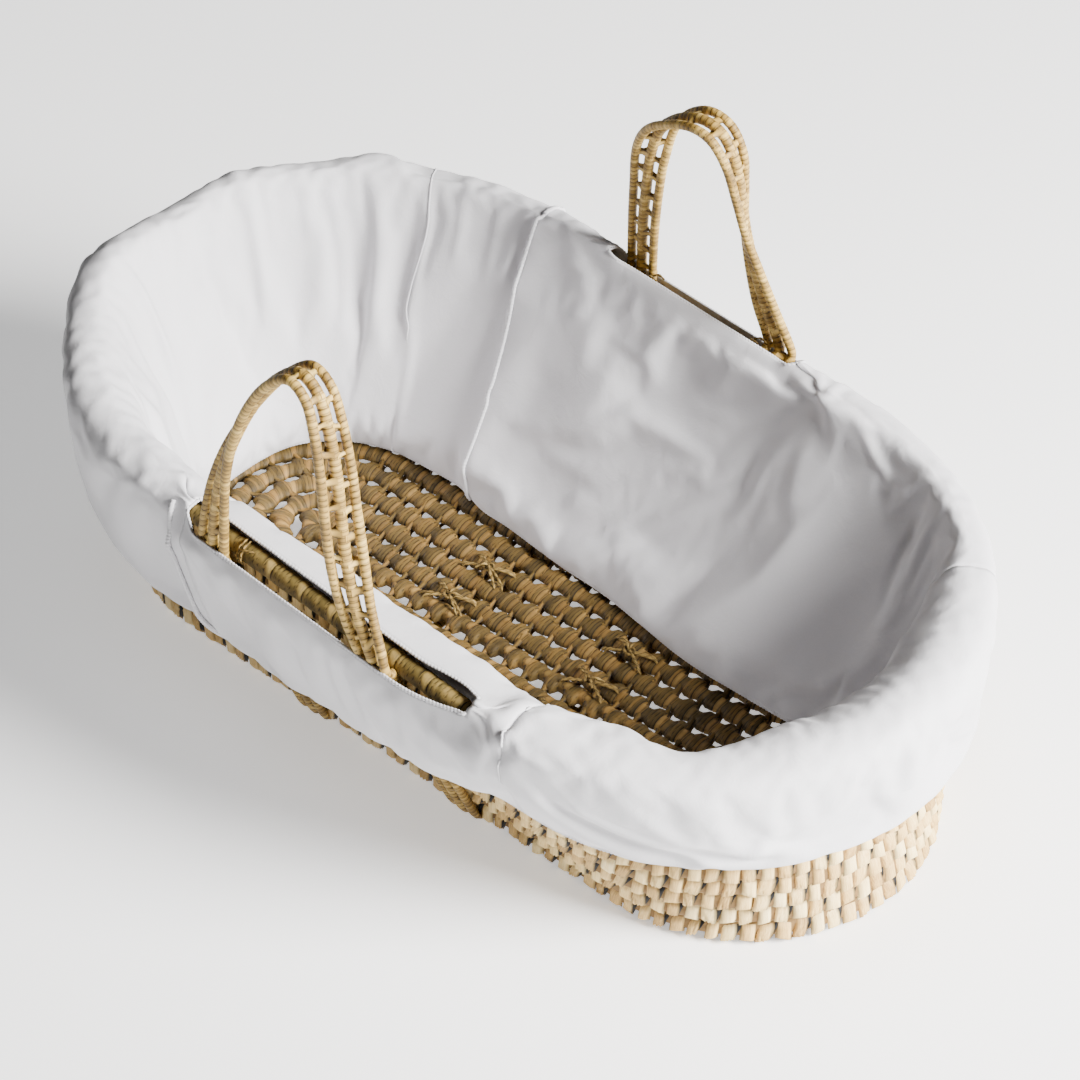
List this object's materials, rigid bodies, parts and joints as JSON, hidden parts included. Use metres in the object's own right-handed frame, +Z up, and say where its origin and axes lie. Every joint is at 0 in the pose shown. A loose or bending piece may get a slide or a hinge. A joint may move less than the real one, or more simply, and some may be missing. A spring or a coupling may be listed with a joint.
{
  "type": "baby moses basket",
  "caption": "Oval woven palm-leaf baby basket with flared wall, raised head end, loose cotton liner with outer skirt, and two folding strap handles.",
  "frame": {"origin": "on the ground, under the middle of the basket", "axes": "+X along the length towards the foot end, +Y across, +Z up; the head end, at -X, is the higher one"},
  "size_m": [0.8468, 0.5245, 0.4646],
  "materials": {
    "wall_leaf": "dry woven palm leaf",
    "floor_leaf": "dry wrapped palm leaf",
    "strap_leaf": "smooth wrapped palm leaf",
    "raffia": "split raffia",
    "cotton": "plain weave cotton",
    "elastic": "covered elastic"
  },
  "bodies": {
    "basket": {"floor_middle_rows": "floor_leaf", "floor_round_1": "floor_leaf", "floor_round_2": "floor_leaf", "floor_round_3": "floor_leaf", "floor_round_4": "floor_leaf", "floor_round_5": "floor_leaf", "floor_ties": "raffia", "foot_strap_far_leg": "strap_leaf", "foot_strap_near_leg": "strap_leaf", "foot_strap_under_floor": "strap_leaf", "head_strap_far_leg": "strap_leaf", "head_strap_near_leg": "strap_leaf", "head_strap_under_floor": "strap_leaf", "hem_elastic": "elastic", "liner_far_panel": "cotton", "liner_foot_panel": "cotton", "liner_head_panel": "cotton", "liner_near_panel": "cotton", "rim_coil": "wall_leaf", "rim_roll_foot": "cotton", "rim_roll_head": "cotton", "rim_ties": "strap_leaf", "skirt_far_flap": "cotton", "skirt_foot": "cotton", "skirt_head": "cotton", "skirt_near_flap": "cotton", "wall_course_01": "wall_leaf", "wall_course_02": "wall_leaf", "wall_course_03": "wall_leaf", "wall_course_04": "wall_leaf", "wall_course_05": "wall_leaf", "wall_course_06": "wall_leaf", "wall_course_07": "wall_leaf", "wall_course_08": "wall_leaf", "wall_course_09": "wall_leaf", "wall_course_10": "wall_leaf"},
    "near_handle": {"near_handle_inner_cord": "strap_leaf", "near_handle_middle_cord": "strap_leaf", "near_handle_outer_cord": "strap_leaf", "near_handle_ties": "strap_leaf"},
    "far_handle": {"far_handle_inner_cord": "strap_leaf", "far_handle_middle_cord": "strap_leaf", "far_handle_outer_cord": "strap_leaf", "far_handle_ties": "strap_leaf"}
  },
  "joints": [
    {"name": "near_handle_fold", "type": "hinge", "parent": "basket", "child": "near_handle", "pos_m": [0, -0.25412, 0.2415], "axis": [0.9952, 0, -0.0983], "range_deg": [-50, 119]},
    {"name": "far_handle_fold", "type": "hinge", "parent": "basket", "child": "far_handle", "pos_m": [0, 0.25412, 0.2415], "axis": [-0.9952, 0, 0.0983], "range_deg": [-46, 123]}
  ]
}
